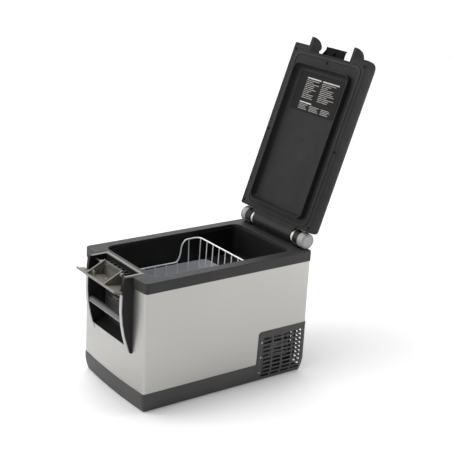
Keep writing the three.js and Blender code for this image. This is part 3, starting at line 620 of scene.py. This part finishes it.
BASKET_X, BASKET_FRONT, BASKET_REAR = 138, -252, 91
BASKET_LOW, BASKET_HIGH, BASKET_FLOOR = 340, 417, 83.2
BASKET_TURN = 22
RIM_WIRE, GRID_WIRE = 2.4, 1.9  # radii
ACROSS_FIRST, ACROSS_PITCH, ACROSS_COUNT = -216, 44, 7
ALONG_FIRST, ALONG_PITCH, ALONG_COUNT = -126, 36, 8
STEP_Y = 30  # hoops behind this stand under the high rim
GRID_TURN = 15
LEAN_X, LEAN_Y = 11, 10  # how far the walls draw in towards the floor


def basket_rim():
    half = [
        (0, BASKET_FRONT, BASKET_LOW),
        (BASKET_X, BASKET_FRONT, BASKET_LOW),
        (BASKET_X, 4, BASKET_LOW),
        (BASKET_X, 15, BASKET_LOW + 22),
        (BASKET_X, 20, BASKET_LOW + 60),
        (BASKET_X, 34, BASKET_HIGH),
        (BASKET_X, BASKET_REAR, BASKET_HIGH),
        (0, BASKET_REAR, BASKET_HIGH),
    ]
    right = fillet(half, BASKET_TURN, 8)
    return right[:-1] + [Vector((-p.x, p.y, p.z)) for p in reversed(right[1:])]


def hoop_across(y):
    top = BASKET_HIGH if y > STEP_Y else BASKET_LOW
    side = [(BASKET_X, y, top), (BASKET_X - LEAN_X, y, BASKET_FLOOR)]
    return fillet(side + [(-x, y, z) for x, y, z in reversed(side)], GRID_TURN)


def hoop_along(x):
    """A hoop from rim to rim; the outer two meet the rim in its round corners."""
    past = max(0, abs(x) - (BASKET_X - BASKET_TURN))
    reach = BASKET_TURN - math.sqrt(BASKET_TURN**2 - past**2)
    under = BASKET_FLOOR - 3
    along = [
        (x, BASKET_FRONT + reach, BASKET_LOW),
        (x, BASKET_FRONT + LEAN_Y, under),
        (x, BASKET_REAR - LEAN_Y, under),
        (x, BASKET_REAR - reach, BASKET_HIGH),
    ]
    return fillet(along, GRID_TURN)


def make_basket():
    """Welded wires: a stepped rim, hoops across and hoops along, bent on round corners."""
    routes = [(basket_rim(), RIM_WIRE, True)]
    for i in range(ACROSS_COUNT):
        routes.append((hoop_across(ACROSS_FIRST + i * ACROSS_PITCH), GRID_WIRE, False))
    for i in range(ALONG_COUNT):
        routes.append((hoop_along(ALONG_FIRST + i * ALONG_PITCH), GRID_WIRE, False))
    basket = wires("basket_wires", routes, "coated_wire", "basket")
    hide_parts("wire_basket")


# ---------- lid details, drawn on the closed lid ----------
LID_UNDERSIDE = 438
DISH_FLOOR = 441.5
DOWN = (0, 0, -1)
PRINT = 0.12  # height of printed marks
BITE = 0.05  # how deep they lie in the face
LABEL_FACE, LABEL_FRONT = 440.5, -222
WORD_SHARES = (0.9, 0.62, 0.78, 0.5, 0.85, 0.7, 0.95, 0.56, 0.8, 0.66, 0.4)
LONG_COLUMNS = ((-71, 0), (10, 94))
SHORT_COLUMNS = ((-71, -26), (-16, 34), (44, 90))


def label_line(x0, x1, y, tall):
    return ((x0, y, LABEL_FACE - PRINT), (x1, y + tall, LABEL_FACE + BITE))


def make_lid_label():
    """Plain bars in place of print: headings and lines in two long and three short columns."""
    headings, lines = [], []
    for x0, x1 in LONG_COLUMNS:
        headings.append(label_line(x0, x1, LABEL_FRONT + 17, 4))
        shift = (x0 > 0) * 4
        for row in range(11):
            y = LABEL_FRONT + 25.5 + row * 6.1
            width = (x1 - x0) * WORD_SHARES[(row * 3 + shift) % len(WORD_SHARES)]
            split = x0 + width * (0.3 + 0.05 * (row % 4))
            lines.append(label_line(x0, split, y, 1.9))
            lines.append(label_line(split + 2.5, x0 + width, y, 1.9))
    headings.append(label_line(-71, -11, LABEL_FRONT + 101, 4))
    for x0, x1 in SHORT_COLUMNS:
        for row in range(4):
            short = 5 * ((row * 2 + (x0 > 0)) % 3)
            lines.append(label_line(x0, x1 - short, LABEL_FRONT + 109 + row * 5.2, 1.8))
    boxes("lid_label_headings", headings, "print", "lid", LID_FROM_CLOSED)
    boxes("lid_label_lines", lines, "print_faint", "lid", LID_FROM_CLOSED)


def make_lid_details():
    sides = ((176.5, -287), (178, 5), (178, 268))
    places = [(sx * x, y) for sx in (1, -1) for x, y in sides] + [(0, -266)]
    # near-black heads: black screws, darkened further as painted shade of their recesses
    heads = [screw_head((x, y, LID_UNDERSIDE), DOWN, 5, 0.8) for x, y in places]
    gather("lid_screws", heads, "black_and_painted_shade", "lid", LID_FROM_CLOSED)
    plug = [disc((0, 3, DISH_FLOOR), DOWN, 4.5, 1.4)]
    gather("lid_plug", plug, "rubber", "lid", LID_FROM_CLOSED)
    make_lid_label()


# ---------- body details ----------
HALF_WIDTH = 190
TUCK, TUCK_TOP = 12, 50  # how far the base draws in, and below which height
STEEL_HALF = 178
REAR_FACE, BOW = 322, 8  # the vent panel bulges by BOW in the middle
SCREW_R = 2.5


def tucked_x(z):
    """Half width of the base at a height."""
    return HALF_WIDTH - TUCK * max(0, 1 - z / TUCK_TOP) ** 1.7


def make_vent_screws():
    side_places = ((134.5, 143), (133.5, 89), (131.5, 34))
    rear_places = ((160, 169), (121, 167))
    heads = []
    for sx in (1, -1):
        for y, z in side_places:
            normal = (sx, 0, 0.12 if z < TUCK_TOP else 0)
            heads.append(screw_head((sx * tucked_x(z), y, z), normal, SCREW_R, 0.3))
        for x, z in rear_places:
            face = REAR_FACE + BOW * (1 - (x / STEEL_HALF) ** 2)
            heads.append(screw_head((sx * x, face, z), (0, 1, 0), SCREW_R, 0.9))
    gather("cover_screws", heads, "pin_steel", "cabinet")


CAP_FACE = 172.3


def make_hinge_details():
    """A raised ring on the face of each hinge cap."""
    outer, inner, crest = 19, 16, 0.9
    rings = [
        (0, -SUNK), (outer, -SUNK), (outer, 0.5), (outer - 0.6, crest),
        (inner + 0.6, crest), (inner, 0.2), (0, 0.2),
    ]
    for side, sx in (("right", 1), ("left", -1)):
        ring = turned(rings, 36, (sx * CAP_FACE, HINGE_Y, HINGE_Z), (sx, 0, 0))
        gather(f"hinge_cap_ring_{side}", [ring], "grey_trim", "cabinet")


RECESS = 101  # half width of the latch recess and the handle pockets
RIM_TOP = 436


def make_latch_surround():
    """The light edge of the latch recess."""
    outer = RECESS + 10
    front, back, edge = -346, -292, -282
    outline = [
        (-outer, front), (-RECESS, front), (-RECESS, back), (RECESS, back),
        (RECESS, front), (outer, front), (outer, edge), (-outer, edge),
    ]
    ends = (RIM_TOP - 0.5, RIM_TOP + 0.4)
    look = ("latch_grey", "cabinet", "grey_trim")
    surround = prism("latch_surround", outline, ends, lambda x, y, z: (x, y, z), *look)
    round_edges(surround, 0.2, 2)


def make_mouth_bead():
    """The bead round the chest's mouth; its light grey is a painted highlight, the thin light line
    along the mouth's edge.
    """
    x, front, rear, z = 158.2, -273.4, 265.2, RIM_TOP - 0.4
    corners = [(0, front), (x, front), (x, rear), (-x, rear), (-x, front), (0, front)]
    loop = fillet([(a, b, z) for a, b in corners], 32, 8)[:-1]
    wires("mouth_bead", [(loop, 0.5, True)], "grip_grey", "cabinet")


def make_pocket_lips():
    """The light lip below each handle pocket, down the sloping front of the housing."""
    half = RECESS - 0.4
    profile = [(329, 184), (331.9, 184), (336.9, 200.2), (333, 200.2)]
    for end, sign in (("front", -1), ("rear", 1)):
        outline = [(sign * depth, z) for depth, z in profile]
        if sign < 0:
            outline.reverse()
        look = ("grey_trim", "cabinet", "grey_trim")
        prism(f"{end}_pocket_lip", outline, (-half, half), lambda y, z, x: (x, y, z), *look)


GRIP_Y, GRIP_Z, GRIP_R = 346, 290, 9.8


def make_grip_highlights():
    """A thin light piece let into the lower front of each grip bar: a painted highlight for the
    bright front edge of the bar.
    """
    low = math.radians(32)
    half_x, half_z, deep = RECESS - 0.6, 1.5, 1.6
    z = GRIP_Z - GRIP_R * math.sin(low)
    for end, sign in (("front", -1), ("rear", 1)):
        outside = sign * (GRIP_Y + GRIP_R * math.cos(low))
        y0, y1 = sorted((outside, outside - sign * deep))
        block = ((-half_x, y0, z - half_z), (half_x, y1, z + half_z))
        # light grey piece: painted highlight along the grip bar's lit front edge
        highlight = boxes(f"{end}_grip_highlight", [block], "grey_trim", "cabinet")
        round_edges(highlight, 0.5, 3)


# ---------- control panel ----------
PANEL_FACE, WINDOW_FACE, BUTTON_FACE = -299.5, -299.8, -301.5
BUTTON_Z = 333
BUTTON_X = {"power": -66, "set": 18, "down": 46, "up": 74}
OUTWARD = (0, -1, 0)


def flat(x0, x1, z0, z1, face):
    """A printed mark on a face of the panel."""
    return ((x0, face - PRINT, z0), (x1, face + BITE, z1))


def make_display():
    """Two digits of seven bars each."""
    long, tall, thick = 9, 7.6, 1.6
    bars = []
    for x in (-34, -16):
        for z in (322, 332.4, 342.8):
            bars.append(flat(x, x + long, z, z + thick, WINDOW_FACE))
        for z in (324.2, 334.6):
            for left in (x + long + 0.4, x - 2):
                bars.append(flat(left, left + thick, z, z + tall, WINDOW_FACE))
    boxes("display_segments", bars, "lens", "cabinet")


def make_panel_marks():
    under_buttons = [(x - 6, 12, 318) for x in BUTTON_X.values()]
    under_display = [(-46, 42, 309), (-46, 30, 305)]
    legends = [flat(x, x + w, z, z + 1.6, PANEL_FACE) for x, w, z in under_buttons + under_display]
    frame_lines = [flat(-86, 86, z, z + 0.7, PANEL_FACE) for z in (296, 350.4)]
    marks = legends + frame_lines
    boxes("panel_legends", marks, "print_faint", "cabinet")
    lamps = [disc((x, PANEL_FACE, 288), OUTWARD, 1.8, 0.7) for x in (-66, -52, -38)]
    gather("panel_lamps", lamps, "latch_grey", "cabinet")
    places = [(x, PANEL_FACE, z) for x in (-84, 84) for z in (240, 343)]
    screws = [screw_head(place, OUTWARD, 2.6, 1.2) for place in places]
    gather("panel_screws", screws, "painted_black", "cabinet")


def mark_button(name, shapes):
    """A sign on a button; each shape is x0, x1, z0, z1 from the button's centre."""
    x, z = BUTTON_X[name], BUTTON_Z
    blocks = [flat(x + x0, x + x1, z + z0, z + z1, BUTTON_FACE) for x0, x1, z0, z1 in shapes]
    boxes(f"mark_{name}", blocks, "black_plastic", f"{name}_button")


def make_button_marks():
    thin = 0.55
    dash = (-3, 3, -thin, thin)
    foot = (-3, 3, -3.5, -2.5)
    mark_button("power", [(-0.6, 0.6, 0, 4.2), (-3, -2, -2.5, 2), (2, 3, -2.5, 2), foot])
    mark_button("set", [(-3.2, 3.2, z, z + 1) for z in (1.4, -0.5, -2.4)])
    mark_button("down", [dash])
    mark_button("up", [dash, (-thin, thin, thin, 3), (-thin, thin, -3, -thin)])


make_camera()
make_studio()
dress_cad_nodes()
make_basket()
make_lid_details()
make_vent_screws()
make_hinge_details()
make_display()
make_panel_marks()
make_button_marks()
make_latch_surround()
make_mouth_bead()
make_pocket_lips()
make_grip_highlights()
